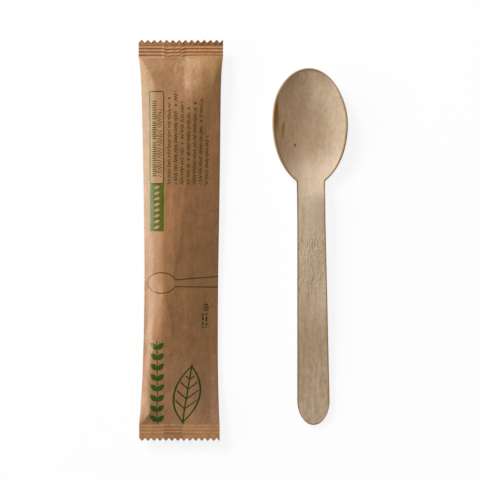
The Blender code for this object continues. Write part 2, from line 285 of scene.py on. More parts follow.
# How much each pattern or zone darkens the wood
birchTone = {
    "base": 0.48, "figure": 0.45, "streaks": 0.34, "fibres": 0.30, "flame": 2.9, "pores": 0.80,
    "handlePores": 0.45, "besideTip": -0.35, "tail": -0.2, "middle": 0.24,
}
# Zones down the spoon, in millimetres from its tip: where each fades in and where it fades out
birchZones = {
    "flame": (66, 78, 90, 116), "tailFlame": (126, 138), "handle": (44, 62), "tail": (140, 158),
    "neckHighlight": (34, 48, 53.5, 60.5), "upperHandle": (54.0, 60.5, 98, 124), "bowlShadeEnd": (34, 50),
}
# Marks as ovals: middle across and along, half width and half length
birchMarks = {
    "besideTip": (8.5, 10, 7.5, 9.0), "middle": (0, 26, 10, 19), "rimStreak": (-16.0, 19.0, 1.7, 8.5),
    "innerStreak": (-12.4, 27, 0.7, 4.2), "knot": (-7.1, 34.3, 0.34, 0.85),
}


def birchMaterial():
    material, tree, shader = newMaterial("birchVeneer")
    place = tree.nodes.new("ShaderNodeTexCoord").outputs["Object"]
    fromEdge, station, across = (readPoint(tree, name) for name in ("fromEdge", "station", "across"))
    patterns = (grainNoise(tree, place, *grain) for grain in birchGrain.values())
    figure, streaks, fibres, flame, patches, pores = patterns
    zones, marks, tones = birchZones, birchMarks, birchTone
    onFlame = zone(station, *zones["flame"]) + station.ramp(*zones["tailFlame"]) * 0.35
    onHandle = station.ramp(*zones["handle"]) * 0.7 + 0.3

    tone = figure.ramp(0.32, 0.70) * tones["figure"] + tones["base"]
    tone = tone + (streaks.ramp(0.35, 0.68) - 0.5) * onHandle * tones["streaks"]
    tone = tone + (fibres - 0.5) * tones["fibres"] + onFlame * (flame - 0.5) * tones["flame"]
    tone = tone + (pores - 0.5) * (onHandle * tones["handlePores"] + tones["pores"])
    # Paler down the neck, which is a painted highlight where the bowl bends up into the handle, and paler
    # down the upper handle, at the tail, and beside the tip
    neckHighlight = zone(station, *zones["neckHighlight"]) * (across.ramp(-8, 10) * 0.10 + 0.60)
    upperHandle = zone(station, *zones["upperHandle"]) * (0.64 + across.ramp(-3, 5) * 0.22)
    besideTip = 1 - fromOval(across, station, marks["besideTip"]).root().ramp(0.2, 1.0)
    inMiddle = 1 - fromOval(across, station, marks["middle"]).root().ramp(0.1, 1.0)
    tone = tone - neckHighlight - upperHandle + station.ramp(*zones["tail"]) * tones["tail"]
    tone = tone + besideTip * tones["besideTip"] + inMiddle * tones["middle"]
    colour = mixColour(tree, tone.clamped(), birch["pale"], birch["tan"])
    warm = patches.ramp(0.45, 0.75) * 0.35 + streaks.ramp(0.60, 0.80) * 0.20
    colour = mixColour(tree, warm.clamped(), colour, birch["brown"])

    # Painted warm shade: the bowl is browner towards its left side, where it lies in shade
    bowlShade = (1 - across.ramp(-17, 12)) * (1 - station.ramp(*zones["bowlShadeEnd"]))
    colour = tinted(tree, bowlShade, colour, birch["bowlShadeTint"])

    # The yellow-brown mineral streaks at the bowl's left rim, and one small knot
    raggedness = (streaks - 0.5) * 1.6
    leaning = across + (station - marks["innerStreak"][1]) * 0.10
    rimStreak = fromOval(across, station, marks["rimStreak"]) + raggedness
    innerStreak = fromOval(leaning, station, marks["innerStreak"]) + raggedness
    knot = fromOval(across, station, marks["knot"])
    stain = ((1 - rimStreak.ramp(0.2, 1.7)) * 0.92).atLeast((1 - innerStreak.ramp(0.2, 1.4)) * 0.62)
    colour = mixColour(tree, stain.clamped(), colour, birch["stain"])
    colour = mixColour(tree, (1 - knot.ramp(0.5, 1.4)) * 0.95, colour, birch["speck"])

    browned = 1 - fromEdge.ramp(0.25, 0.80)
    # The cut edge is browner all round, and painted lighter on its right side: painted light where the edge
    # lies in shade
    cutColour = mixColour(tree, across.ramp(3, 12), birch["cutEdge"], birch["litRightEdge"])
    colour = mixColour(tree, browned * 0.95, colour, cutColour)
    polished = stain.atLeast(browned).clamped() * birch["edgeGloss"]
    height = streaks * onHandle * 0.5 + fibres * 0.35 + pores * 0.3 + onFlame * flame * 2.6
    feed(tree, shader, {
        "Base Color": colour, "Roughness": birch["roughness"] - polished,
        "Specular IOR Level": birch["sheen"], "Normal": bumped(tree, height, birch["relief"]),
    })
    return material


def spoonTree(material):
    tree, _, size = newShapeTree("pressedSpoon", spoonSizes)
    points = {"Vertices X": size["columns"] + 1, "Vertices Y": size["rows"] + 1}
    grid = addNode(tree, "GeometryNodeMeshGrid", {"Size X": 2.0, "Size Y": 1.0, **points})
    gridX, gridY, _ = pointPlace(tree)
    length, widest, bowlWide = (size[name] for name in ("spoonLength", "bowlWidest", "bowlWidth"))
    bowlLong, neckWide, tailWide = (size[name] for name in ("bowlLength", "neckWidth", "tailWidth"))

    # Rows bow out to the outline at the tip and at the tail, so that the grid has no poles
    corner = size["cornerAngle"]
    cornerCos = corner.cos()
    angle = gridX * corner
    lift = (angle.cos() - cornerCos) / (1 - cornerCos)
    spread = angle.sin() / corner.sin()
    tipCorner = widest * (1 - cornerCos)
    tailCorner = length - size["tailRound"] * (1 - cornerCos)
    row = tipCorner + (0.5 - gridY) * (tailCorner - tipCorner)

    # Outline: two half ellipses for the bowl, a tapered handle and a half ellipse at the tail
    tailStart = length - size["tailRound"]
    neckShare = neckWide / bowlWide
    taper = (bowlLong - widest) / (1 - neckShare.squared()).root()
    towardsTip = row.below(widest)
    halfAxis = choose(towardsTip, widest, taper)
    bowl = bowlWide / 2 * (1 - ((row - widest) / halfAxis).squared()).root()
    taperStart = bowlLong + size["handleStraight"]
    downHandle = ((row - taperStart) / (tailStart - taperStart)).clamped()
    handle = (neckWide + (tailWide - neckWide) * downHandle) / 2
    joined = (bowl + handle + length2(bowl - handle, size["neckFillet"])) / 2
    half = choose(towardsTip, bowl, joined)
    tail = tailWide / 2 * (1 - ((row - tailStart) / size["tailRound"]).squared()).root()
    half = choose(row.above(tailStart), tail, half)

    nearTip = 1 - (row - tipCorner).ramp(0.0, widest)
    nearTail = 1 - (tailCorner - row).ramp(0.0, size["tailRound"] * 2)
    along = row - nearTip * tipCorner * lift + nearTail * (length - tailCorner) * lift
    across = half * spread

    # The press: an oval dish that runs out into the handle
    tipReach = widest + size["tipMargin"]
    neckReach = bowlLong - widest + size["pressRunOut"]
    reach = choose(along.below(widest), tipReach, neckReach)
    side = bowlWide / 2 + size["sideMargin"]
    lengthways = ((along - widest).size() / reach).power(size["lengthPower"])
    sideways = 1 - along.ramp(size["neckFlatStart"], size["neckFlatEnd"]) * size["neckFlatShare"]
    inside = 1 - lengthways - (across / side).squared() * sideways
    soft = size["pressSoftness"] + along.ramp(size["bendStart"], size["bendEnd"]) * size["bendSoftness"]
    depth = size["bowlDepth"] * (inside + length2(inside, soft)) / 2

    fromSide = half * (1 - spread.size())
    fromRow = 0.5 - gridY.size()
    fromEdge = fromSide.atMost(fromRow * length)
    shape = storeNumber(tree, grid.outputs["Mesh"], "station", along)
    shape = storeNumber(tree, shape, "across", across)
    shape = storeNumber(tree, shape, "fromEdge", fromEdge)
    lean = (widest - along).ramp(0.0, size["tipLeanReach"]) * size["tipLean"]
    shape = movePoints(tree, shape, "Position", (across - lean) * mm, (widest - along) * mm, -depth * mm)
    finishTree(tree, shape, material)
    return tree


def restingSlope():
    # The steepest line from the tail's underside that touches the bowl's
    size = spoonSizes
    reach = size["bowlLength"] - size["bowlWidest"] + size["pressRunOut"]
    toTail = size["spoonLength"] - veneer["edgeRound"] - size["bowlWidest"]
    fromWidest = np.linspace(0, reach, 800)
    depth = size["bowlDepth"] * (1 - (fromWidest / reach) ** size["lengthPower"])
    return float(np.max(depth / (toTail - fromWidest)))


def makeSpoon():
    material = birchMaterial()
    spoon = addObject("woodenSpoon", bpy.data.meshes.new("woodenSpoon"))
    addTree(spoon, spoonTree(material), spoonSizes)
    wall = spoon.modifiers.new("veneerThickness", "SOLIDIFY")
    wall.thickness = veneer["thickness"] * mm
    wall.offset = 0.0
    wall.use_even_offset = True
    rounding = spoon.modifiers.new("tumbledEdges", "BEVEL")
    rounding.width = veneer["edgeRound"] * mm
    rounding.segments = veneer["edgeSteps"]
    rounding.limit_method = "ANGLE"
    rounding.angle_limit = veneer["edgeAngle"]
    mesh = settle(spoon)
    turn = Matrix.Rotation(layout["spoonTurn"], 4, "Z")
    tilt = Matrix.Rotation(math.atan(restingSlope()), 4, "X")
    place = Matrix.Translation((layout["spoonX"] * mm, layout["bowlY"] * mm, 0))
    mesh.transform(place @ turn @ tilt)
    settle(spoon)
    return spoon


# Paper wrapper

wrapperSizes = {
    "length": 180.0, "width": 37.9, "waistWidth": 33.0, "waistY": -14.1, "lowerSealShare": 0.953,
    "sealLength": 7.5, "edgeHeight": 4.0, "paper": 0.12, "bellyPower": 3.2, "tableSag": 0.4,
    "shoulder": 30.0, "sideBow": 0.65, "sideLean": 0.65, "finLeft": -7.8, "finRight": 1.2,
    "halfTeeth": 27, "columnsPerHalfTooth": 4, "bodyRows": 330, "sealRows": 34,
    "upperFlare": [(0.60, 1.1), (0.40, 14)], "lowerFlare": 3.2, "shoulderPower": 1.2, "sidePower": 0.45,
    "finEdge": 0.02,
}
bodyEnd = wrapperSizes["length"] / 2 - wrapperSizes["sealLength"]

crimp = {
    "sealStart": 82.5, "ribStart": 0.3, "ribPitch": 1.48, "ribCount": 3.0, "upperRib": 0.30,
    "lowerRib": 0.09, "finRib": 0.13, "finLeft": -7.8, "finRight": 1.2, "finStep": 0.16,
    "toothStart": 87.6, "toothHeight": 1.4, "toothPitch": 2.807, "cutEnd": 90.0, "toothShear": 0.58,
    "halfWidth": 18.95, "swell": 0.28, "swellStart": 60.0, "swellFull": 78.0, "swellFrom": 81.6,
    "swellTo": 83.2, "swellRight": 0.2, "ribPeak": 0.36, "finSoft": 0.35, "edgeLump": 0.22,
}

# Lines down the front panel that its section passes through: y, x and height above the seals, in
# millimetres from the wrapper's middle
frontLines = {
    "leftWall": [
        (82.5, -18.9, 0), (77.4, -17.2, 0.95), (71, -15.7, 1.95), (63, -14.9, 2.7), (50, -15, 2.7),
        (4, -14.9, 2.6), (-18, -14.6, 2.35), (-42, -15.2, 2), (-60, -16, 1.9), (-72, -16.6, 1.4),
        (-79, -17.5, 0.5), (-82.5, -18.1, 0),
    ],
    "leftRidge": [
        (82.5, -18.8, 0), (80.1, -17.7, 0.75), (77.4, -15.7, 1.7), (74.2, -13.5, 2.6),
        (71.1, -12.2, 3.2), (67.5, -11.5, 3.8), (63, -11.3, 4.3), (57, -11.9, 4.45), (50, -12.6, 4.2),
        (31, -12.8, 3.95), (0, -12.4, 4.05), (-18, -12.2, 3.9), (-27, -11.5, 4.2), (-36, -12, 4.05),
        (-42, -13.2, 3.7), (-46, -12.2, 3.95), (-49, -12.6, 3.7), (-56, -13.8, 3.25), (-63, -14.2, 2.9),
        (-70, -14.3, 2.55), (-75, -13.9, 2.45), (-78.2, -14.2, 1.95), (-80.2, -16, 0.8),
        (-82.5, -18, 0),
    ],
    "leftCrown": [
        (82.5, -9, 0), (80.1, -8.5, 0.42), (77.4, -8, 1), (74.2, -8, 1.8), (71.1, -8, 2.6),
        (67.5, -8, 3.5), (63, -8, 4.4), (57, -8, 5.08), (50, -8, 5.43), (18, -8, 5.6), (0, -8, 5.6),
        (-18, -8, 5.3), (-27, -8, 5.5), (-36, -8.2, 5.2), (-42, -8.5, 4.8), (-49, -8.5, 4.15),
        (-56, -8.5, 3.44), (-63, -8.5, 2.75), (-70, -8.5, 2.05), (-76, -8.5, 1.4), (-80, -8.5, 0.65),
        (-82.5, -8.5, 0),
    ],
    "middle": [
        (82.5, -3, 0), (80.1, -3, 0.3), (77.4, -3, 0.55), (74.2, -3, 1.15), (71.1, -3, 1.95),
        (67.5, -3, 2.9), (63, -3, 4), (57, -3, 4.9), (50, -3, 5.27), (31, -3, 5.27), (0, -3, 5.3),
        (-18, -3, 4.75), (-27, -3, 4.7), (-42, -3, 3.95), (-49, -3, 3.33), (-56, -3, 2.71),
        (-63, -3, 2.05), (-70, -3, 1.45), (-76, -3, 1), (-80, -3, 0.5), (-82.5, -3, 0),
    ],
    "valley": [
        (82.5, 0.2, 0), (80.5, 0.7, 0.3), (77.4, 1.2, 0.6), (74.2, 1.5, 1), (71.1, 1.5, 1.6),
        (67.5, 1.4, 2.6), (63, 2, 3.55), (57, 2.8, 4), (50, 3, 3.98), (31, 3, 3.8), (0, 3, 3.7),
        (-18, 3, 3), (-27, 3, 3.15), (-42, 3, 2.6), (-56, 3, 1.6), (-70, 3, 0.75), (-76, 3, 0.6),
        (-80, 3, 0.35), (-82.5, 3, 0),
    ],
    "besideValley": [
        (82.5, 3.3, 0), (80.5, 3.8, 0.75), (77.4, 4.3, 1.4), (74.2, 4.6, 1.85), (71.1, 4.7, 2.3),
        (67.5, 4.8, 3.05), (63, 5, 3.5), (57, 5.7, 3.38), (50, 5.8, 3.05), (31, 5.8, 2.75),
        (0, 5.8, 2.75), (-18, 5.8, 2), (-27, 5.8, 2.2), (-42, 5.8, 1.75), (-56, 5.8, 0.95),
        (-70, 5.8, 0.4), (-76, 5.8, 0.45), (-80, 5.8, 0.3), (-82.5, 5.8, 0),
    ],
    "rightCrown": [
        (82.5, 9, 0), (80.5, 9, 1), (77.4, 9.4, 2), (74.2, 9.6, 2.45), (71.1, 9.6, 2.7),
        (67.5, 9.5, 2.85), (63, 9, 2.7), (57, 9, 2.25), (50, 9, 1.79), (31, 9, 1.5), (0, 9, 1.55),
        (-18, 9, 0.75), (-27, 9, 0.85), (-42, 9, 0.45), (-56, 9, -0.1), (-70, 9, -0.1), (-76, 9, 0.15),
        (-80, 9, 0.15), (-82.5, 9, 0),
    ],
    "rightRidge": [
        (82.5, 17.5, 0), (80, 17.4, 0.7), (77.4, 17, 1.5), (74.2, 16.2, 2), (71.1, 15, 2.15),
        (67.5, 14, 2.1), (63, 13.4, 1.75), (57, 13, 1.2), (50, 13, 0.35), (0, 13, -0.1),
        (-18, 13, -0.95), (-42, 13, -1.2), (-60, 13, -1.45), (-70, 13, -1.1), (-76, 13, -0.6),
        (-80, 13.5, -0.2), (-82.5, 14, 0),
    ],
}
# Heights of the two side edges above the seals
edgeLines = {
    "left": [
        (82.5, 0), (77, 0.5), (70, 0.9), (60, 1.3), (26, 1.35), (-4, 1.65), (-50, 1.6), (-66, 1.1),
        (-76, 0.2), (-82.5, 0),
    ],
    "right": [
        (82.5, 0), (77, 0.8), (71, 1.1), (66, 0.85), (59, 0), (45, -1.1), (0, -1.9), (-20, -2.45),
        (-50, -2.5), (-60, -2.1), (-72, -1.25), (-82.5, 0),
    ],
}
softness = {
    "shoulder": 0.28, "middle": 0.85, "alongside": 1.0, "shoulderEnd": 20.0, "rollIn": 0.5, "rollUp": 0.3,
}

# Folds: path in millimetres from the wrapper's middle, height (a valley is below zero), reach to
# the left and to the right of the path, and how sharp the crest is (1 is a crease)
folds = {
    "cornerTuck": {
        "path": [(18.2, 81.8), (17.2, 78.4), (16.4, 74.0)],
        "height": -0.4, "left": 1.1, "right": 0.8, "sharp": 1.1,
    },
    "middleRidge": {
        "path": [(1.9, 17.0), (0.4, 5.0), (-0.8, -5.5)],
        "height": 0.32, "left": 4.2, "right": 1.9, "sharp": 1.15,
    },
    "leftDent": {
        "path": [(-17.0, -21.6), (-13.6, -22.3)],
        "height": -0.5, "left": 0.9, "right": 1.3, "sharp": 1.2,
    },
    "lowerRidge": {
        "path": [(-8.4, -22.0), (-7.4, -24.6), (-5.6, -30.0), (-4.6, -34.0), (-4.0, -40.0)],
        "height": 0.6, "left": 4.6, "right": 2.0, "sharp": 1.1,
    },
    "lowerLeftPlane": {
        "path": [(-16.8, -43.2), (-11.8, -45.6), (-9.6, -49.0)],
        "height": 0.4, "left": 2.0, "right": 2.4, "sharp": 1.15,
    },
}
crumples = {"count": 11, "from": (-5.0, 75.5), "to": (0.6, 81.0), "height": 0.15, "reach": 0.95, "seed": 4}
# Single dots: place, height and reach
dots = [(-5.0, -50.6, 0.22, 0.7), (-11.8, -48.4, 0.25, 0.9), (-17.0, 75.0, -0.25, 0.6)]
# Slow unevenness of the paper, longer along the sleeve than across it: height, lengths of the wave
# across and along, and a number that sets one layer apart from the others
paperWaves = [(0.13, 7.0, 19.0, 3.0), (0.05, 2.6, 6.0, 9.0), (0.035, 1.3, 8.0, 15.0)]


def ease(share):
    share = np.clip(share, 0.0, 1.0)
    return share * share * (3 - 2 * share)


def halfWidthAt(y):
    # Narrowest at the waist. Above it a slow and a steep curve widen it towards the seal
    size = wrapperSizes
    up = np.clip((y - size["waistY"]) / (bodyEnd - size["waistY"]), 0, 1)
    down = np.clip((size["waistY"] - y) / (bodyEnd + size["waistY"]), 0, 1)
    waist = size["waistWidth"]
    upper = (size["width"] - waist) * sum(share * up**power for share, power in size["upperFlare"])
    lower = (size["width"] * size["lowerSealShare"] - waist) * down ** size["lowerFlare"]
    return (waist + upper + lower) / 2


def openShare(y):
    # 0 at the seals, 1 where the sleeve is fully puffed up
    inside = np.clip((bodyEnd - np.abs(y)) / wrapperSizes["shoulder"], 0.0, 1.0)
    return np.sin(inside * math.pi / 2) ** wrapperSizes["shoulderPower"]


def fromSides(shares):
    # 0 at both side edges, 1 in the middle
    return np.sin(math.pi * shares) ** wrapperSizes["sidePower"]


def middleAt(y):
    share = np.clip(y / bodyEnd, -1, 1)
    return wrapperSizes["sideBow"] * (1 - share**2) - wrapperSizes["sideLean"] * (1 - share) / 2


def alongArc(across, up, shares):
    # Points at even shares of the paper's own width
    run = np.concatenate([[0], np.cumsum(np.hypot(np.diff(across), np.diff(up)))])
    return np.interp(shares * run[-1], run, across), np.interp(shares * run[-1], run, up)


def bellySection(halfWidth, height, power, shares):
    angle = np.linspace(math.pi, 0, 600)
    across = halfWidth * np.sign(np.cos(angle)) * np.abs(np.cos(angle)) ** (2 / power)
    up = height * np.abs(np.sin(angle)) ** (2 / power)
    return alongArc(across, up, shares)


def softened(values, reach, step):
    # Gaussian smoothing that leaves the two ends and their slopes where they are
    count = max(2, int(3 * reach / step))
    weights = np.exp(-0.5 * (np.arange(-count, count + 1) * step / reach) ** 2)
    before = 2 * values[0] - values[count:0:-1]
    after = 2 * values[-1] - values[-2:-count - 2:-1]
    return np.convolve(np.concatenate([before, values, after]), weights / weights.sum(), "valid")


def followLine(points, column, stations):
    fineStep = 0.25
    fine = np.arange(-bodyEnd, bodyEnd + fineStep, fineStep)
    ordered = np.array(points[::-1], float)
    values = softened(np.interp(fine, ordered[:, 0], ordered[:, column]), softness["alongside"], fineStep)
    return np.interp(stations, fine, values)


def sideHeights(stations):
    return [followLine(edgeLines[side], 1, stations) for side in ("left", "right")]


def frontSections(stations, shares):
    # The section at each station passes through every line, softened less at the shoulders
    left, right = sideHeights(stations)
    lines = [[followLine(points, column, stations) for column in (1, 2)] for points in frontLines.values()]
    across, up = [], []
    for row, y in enumerate(stations):
        half, middle = halfWidthAt(y), middleAt(y)
        inside = np.clip((bodyEnd - abs(y)) / softness["shoulderEnd"], 0.0, 1.0)
        reach = softness["shoulder"] + (softness["middle"] - softness["shoulder"]) * ease(inside)
        x = np.linspace(middle - half, middle + half, 700)
        rollX, rollZ = middle + half - softness["rollIn"], right[row] + softness["rollUp"] * inside
        knotX = [middle - half, *(line[0][row] for line in lines), rollX, middle + half]
        knotZ = [left[row], *(line[1][row] for line in lines), rollZ, right[row]]
        knotX = np.maximum.accumulate(np.clip(knotX, middle - half, middle + half))
        height = softened(np.interp(x, knotX, knotZ), reach, x[1] - x[0])
        height = height * np.clip((bodyEnd + 0.01 - abs(y)) / 0.02, 0.0, 1.0)
        points = alongArc(x, height, shares)
        across.append(points[0])
        up.append(points[1])
    return np.array(across), np.array(up)


def foldRise(flatX, flatY, fold):
    # Height of one fold at each point, from the nearest place on its path
    points = np.array(fold["path"], float)
    best = np.full(flatX.shape, np.inf)
    signed = np.zeros(flatX.shape)
    passed = np.zeros(flatX.shape)
    steps = np.hypot(*np.diff(points, axis=0).T)
    travelled = np.concatenate([[0], np.cumsum(steps)])
    for index, step in enumerate(steps):
        start, run = points[index], points[index + 1] - points[index]
        share = np.clip(((flatX - start[0]) * run[0] + (flatY - start[1]) * run[1]) / step**2, 0, 1)
        offX = flatX - start[0] - share * run[0]
        offY = flatY - start[1] - share * run[1]
        away = np.hypot(offX, offY)
        turn = np.sign(run[0] * offY - run[1] * offX)
        nearer = away < best
        best = np.where(nearer, away, best)
        signed = np.where(nearer, away * turn, signed)
        passed = np.where(nearer, (travelled[index] + share * step) / travelled[-1], passed)
    # A path that runs down the paper has its right-hand side where signed is above zero. Folds fade
    # out towards both ends of their paths
    downwards = points[-1][1] < points[0][1]
    onRight = (signed > 0) == downwards
    reach = np.where(onRight, fold["right"], fold["left"])
    fade = np.sin(math.pi * (0.10 + 0.80 * passed)) ** 0.7
    return fold["height"] * fade * np.exp(-((best / reach) ** fold["sharp"]))


def crumpleRise(flatX, flatY):
    spots = np.random.default_rng(crumples["seed"])
    rise = np.zeros(flatX.shape)
    for _ in range(crumples["count"]):
        x = spots.uniform(crumples["from"][0], crumples["to"][0])
        y = spots.uniform(crumples["from"][1], crumples["to"][1])
        sign = spots.choice((-1.0, 1.0))
        width = crumples["reach"] * spots.uniform(0.6, 1.2)
        away = np.hypot((flatX - x) / width, (flatY - y) / (1.5 * width))
        rise += sign * crumples["height"] * np.exp(-away**1.6)
    for x, y, height, width in dots:
        rise += height * np.exp(-((np.hypot(flatX - x, flatY - y) / width) ** 1.8))
    return rise


def paperWave(flatX, flatY, side):
    rise = np.zeros(flatX.shape)
    for index in np.ndindex(flatX.shape):
        x, y = flatX[index], flatY[index]
        for height, wide, long, layer in paperWaves:
            rise[index] += height * noise.noise(Vector((x / wide, y / long, layer * side)))
    return rise * openShare(flatY)


def stationsDownWrapper():
    size = wrapperSizes
    seal = np.linspace(size["length"] / 2, bodyEnd, size["sealRows"] + 1)[:-1]
    even = np.linspace(bodyEnd, -bodyEnd, size["bodyRows"] + 1)
    closeAtEnds = bodyEnd * np.sin(np.linspace(math.pi / 2, -math.pi / 2, size["bodyRows"] + 1))
    return np.concatenate([seal, 0.6 * even + 0.4 * closeAtEnds, -seal[::-1]])


def flatPaper(stations, shares):
    return np.meshgrid((shares - 0.5) * wrapperSizes["width"], stations)


def frontPanel(stations, shares):
    flatX, flatY = flatPaper(stations, shares)
    x, z = frontSections(stations, shares)
    rise = sum(foldRise(x, flatY, fold) for fold in folds.values()) + paperWave(flatX, flatY, 1)
    rise += crumpleRise(x, flatY) * np.clip((bodyEnd - np.abs(flatY)) / 1.5, 0, 1)
    z += rise * fromSides(shares)
    return x, flatY, z + wrapperSizes["edgeHeight"] + wrapperSizes["paper"], flatX, flatY


def backPanel(stations, shares):
    # The belly rests on the table, and the folded fin lies two layers lower
    size = wrapperSizes
    flatX, flatY = flatPaper(stations, shares)
    x, z = np.zeros(flatX.shape), np.zeros(flatX.shape)
    left, right = sideHeights(stations)
    lean = left[:, None] * (1 - shares) + right[:, None] * shares
    belly = size["edgeHeight"] - 3 * size["paper"] + size["tableSag"]
    for row, y in enumerate(stations):
        x[row], z[row] = bellySection(halfWidthAt(y), belly * openShare(y), size["bellyPower"], shares)
    x += middleAt(flatY)
    height = size["edgeHeight"] - size["paper"] + lean - z + paperWave(flatX, flatY, -1) * fromSides(shares)
    onFin = (flatX > size["finLeft"]) & (flatX < size["finRight"])
    height = np.maximum(height, 2 * size["paper"])
    return x, flatY, height - 2 * size["paper"] * onFin, flatX, flatY


def wrapperMesh():
    size = wrapperSizes
    count = size["halfTeeth"] * size["columnsPerHalfTooth"]
    shares = np.linspace(0, 1, count + 1)
    stations = stationsDownWrapper()
    front = frontPanel(stations, shares)
    backShares = np.linspace(0, 1, count // 2 + 1)
    for edge in (size["finLeft"], size["finRight"]):
        near = int(np.argmin(np.abs((backShares - 0.5) * size["width"] - edge)))
        backShares[near] = 0.5 + (edge + size["finEdge"]) / size["width"]
        extra = 0.5 + (edge - size["finEdge"]) / size["width"]
        backShares = np.sort(np.append(backShares, extra))
    back = backPanel(stations, backShares)

    # One closed ring of points for each station: the front from left to right, then the back
    rings = [np.concatenate([f, b[:, ::-1]], axis=1) for f, b in zip(front, back)]
    rows, around = rings[0].shape
    points = np.stack(rings[:3], axis=-1).reshape(-1, 3) * mm
    index = np.arange(rows * around).reshape(rows, around)
    a, b = index[:-1], index[1:]
    quads = np.stack([a, b, np.roll(b, -1, 1), np.roll(a, -1, 1)], axis=-1).reshape(-1, 4)
    faces = quads.tolist()
    faces += cutEnd(index[0], shares, backShares, True)
    faces += cutEnd(index[-1], shares, backShares, False)
    mesh = bpy.data.meshes.new("paperWrapper")
    mesh.from_pydata(points.tolist(), [], faces)
    mesh.update()
    isFront = np.concatenate([np.ones(count + 1), np.zeros(len(backShares))])
    kept = {"flatX": rings[3], "flatY": rings[4], "isFront": np.tile(isFront, (rows, 1))}
    for name, values in kept.items():
        stored = mesh.attributes.new(name, "FLOAT", "POINT")
        stored.data.foreach_set("value", values.ravel().astype(np.float32))
    return mesh


def cutEnd(ring, shares, backShares, turned):
    # Closes the cut edge: quads between front and back, with triangles where one has more points
    front = ring[: len(shares)]
    back = ring[len(shares):][::-1]
    faces, i, j = [], 0, 0
    while i < len(front) - 1 or j < len(back) - 1:
        frontNext = shares[i + 1] if i < len(front) - 1 else 2.0
        backNext = backShares[j + 1] if j < len(back) - 1 else 2.0
        if abs(frontNext - backNext) < 1e-6:
            face = (front[i], back[j], back[j + 1], front[i + 1])
            i, j = i + 1, j + 1
        elif frontNext < backNext:
            face = (front[i], back[j], front[i + 1])
            i += 1
        else:
            face = (front[i], back[j], back[j + 1])
            j += 1
        faces.append([int(corner) for corner in (face[::-1] if turned else face)])
    return faces


def crimpTree(material):
    # The sealing jaws: ribs across both seals, the zigzag knife, and the lumps over the fin's layers
    tree, entry, size = newShapeTree("sealingJaws", crimp)
    flatX, flatY, isFront = (readNumber(tree, name) for name in ("flatX", "flatY", "isFront"))
    up = flatY.above(0.0)
    fromMiddle = flatY.size()
    finLeft, finRight, soft, peak = (size[name] for name in ("finLeft", "finRight", "finSoft", "ribPeak"))

    # The ribs rise steeply and fall slowly, and waver over the fin
    overFin = zone(flatX, finLeft - soft, finLeft + soft, finRight - soft, finRight + soft)
    wobble = (flatX * 1.9).sin() * 0.16 + (flatX * 0.83).sin() * 0.10
    shift = overFin * (wobble * (up * 0.8 + 0.2) + 0.30)
    past = (fromMiddle - size["sealStart"] - size["ribStart"] + shift) / size["ribPitch"]
    phase = past.fraction()
    profile = choose(phase.below(peak), phase.ramp(0.0, peak), 1 - phase.ramp(peak, 1.0))
    within = past.above(0.0) * past.below(size["ribCount"])
    height = choose(up, size["upperRib"], choose(overFin.above(0.5), size["finRib"], size["lowerRib"]))
    height = height * (1 - past.below(1.0) * flatX.ramp(-4.0, 14.0) * 0.6)
    rib = profile * within * height

    inSeal = fromMiddle.ramp(size["sealStart"] - 1.5, size["sealStart"])
    edgeLump = lump(flatX, finLeft, 0.55) + lump(flatX, finRight, 0.5) * 0.6
    ripple = ((fromMiddle + 0.2) * (2 * math.pi / crimp["ribPitch"])).sin() * 0.5 + 0.5
    layers = inSeal * (overFin * size["finStep"] + edgeLump * ripple * size["edgeLump"]) * (up * 0.75 + 0.25)
    curl = up * (fromMiddle - size["toothStart"] + 0.6).atLeast(0.0) * (0.10 + flatX.ramp(-4.0, 12.0) * 0.18)

    zigzag = ((flatX + size["halfWidth"]) / size["toothPitch"]).fraction() - 0.5
    cut = (fromMiddle - size["toothStart"]) / (size["cutEnd"] - size["toothStart"])
    inset = cut.clamped() * zigzag.size() * 2 * size["toothHeight"]
    towardsMiddle = choose(up, -inset, inset)

    # The paper swells up just inside the upper seal, but not at the sides
    swell = up * fromMiddle.ramp(size["swellStart"], size["swellFull"])
    swell = swell * (1 - (flatX / size["halfWidth"]).size().power(8.0))
    swell = swell * (1 - fromMiddle.ramp(size["swellFrom"], size["swellTo"]))
    swell = swell * (size["swell"] + flatX.ramp(-6.0, 12.0) * size["swellRight"])
    lift = rib + (layers + swell) * isFront + curl

    # Painted shade on the ribs' sides that face away from the light, and painted highlight on their lit
    # sides, stored for the paper's colour
    shaded = choose(up, 1 - phase.ramp(0.15, 0.5), phase.ramp(0.5, 0.85) * (overFin * 0.6 + 0.4)) * within
    shape = storeNumber(tree, entry.outputs["Geometry"], "ribShade", shaded)
    shape = storeNumber(tree, shape, "ribLight", within - shaded)
    shape = movePoints(tree, shape, "Offset", 0.0, towardsMiddle * mm, lift * mm)
    finishTree(tree, shape, material)
    return tree


def lump(value, centre, width):
    return 1 - ((value - centre).size() / width).ramp(0.0, 1.0)


kraft = {
    "light": (0.430, 0.210, 0.081), "dark": (0.252, 0.114, 0.041), "scuffed": (1.0, 1.17, 1.25),
    "upperEnd": (1.05, 1.12, 1.08), "upperSeal": (1.09, 1.05, 1.0), "lowerEnd": (1.0, 1.03, 1.22),
    "scuffedEnd": (1.05, 1.17, 1.06), "rubbed": (0.82, 0.84, 0.92), "lowerSeal": (1.09, 1.11, 0.97),
    "lowerFin": (0.92, 0.88, 0.78), "pressedFlat": (1.09, 1.06, 1.10), "pressed": (1.02, 1.04, 1.02),
    "browned": (0.76, 0.55, 0.32), "ribShade": (0.95, 0.72, 0.54), "roughness": 0.43, "inkGloss": 0.23,
    "sheen": 0.85, "relief": 0.00008, "wallX": -12.6,
}
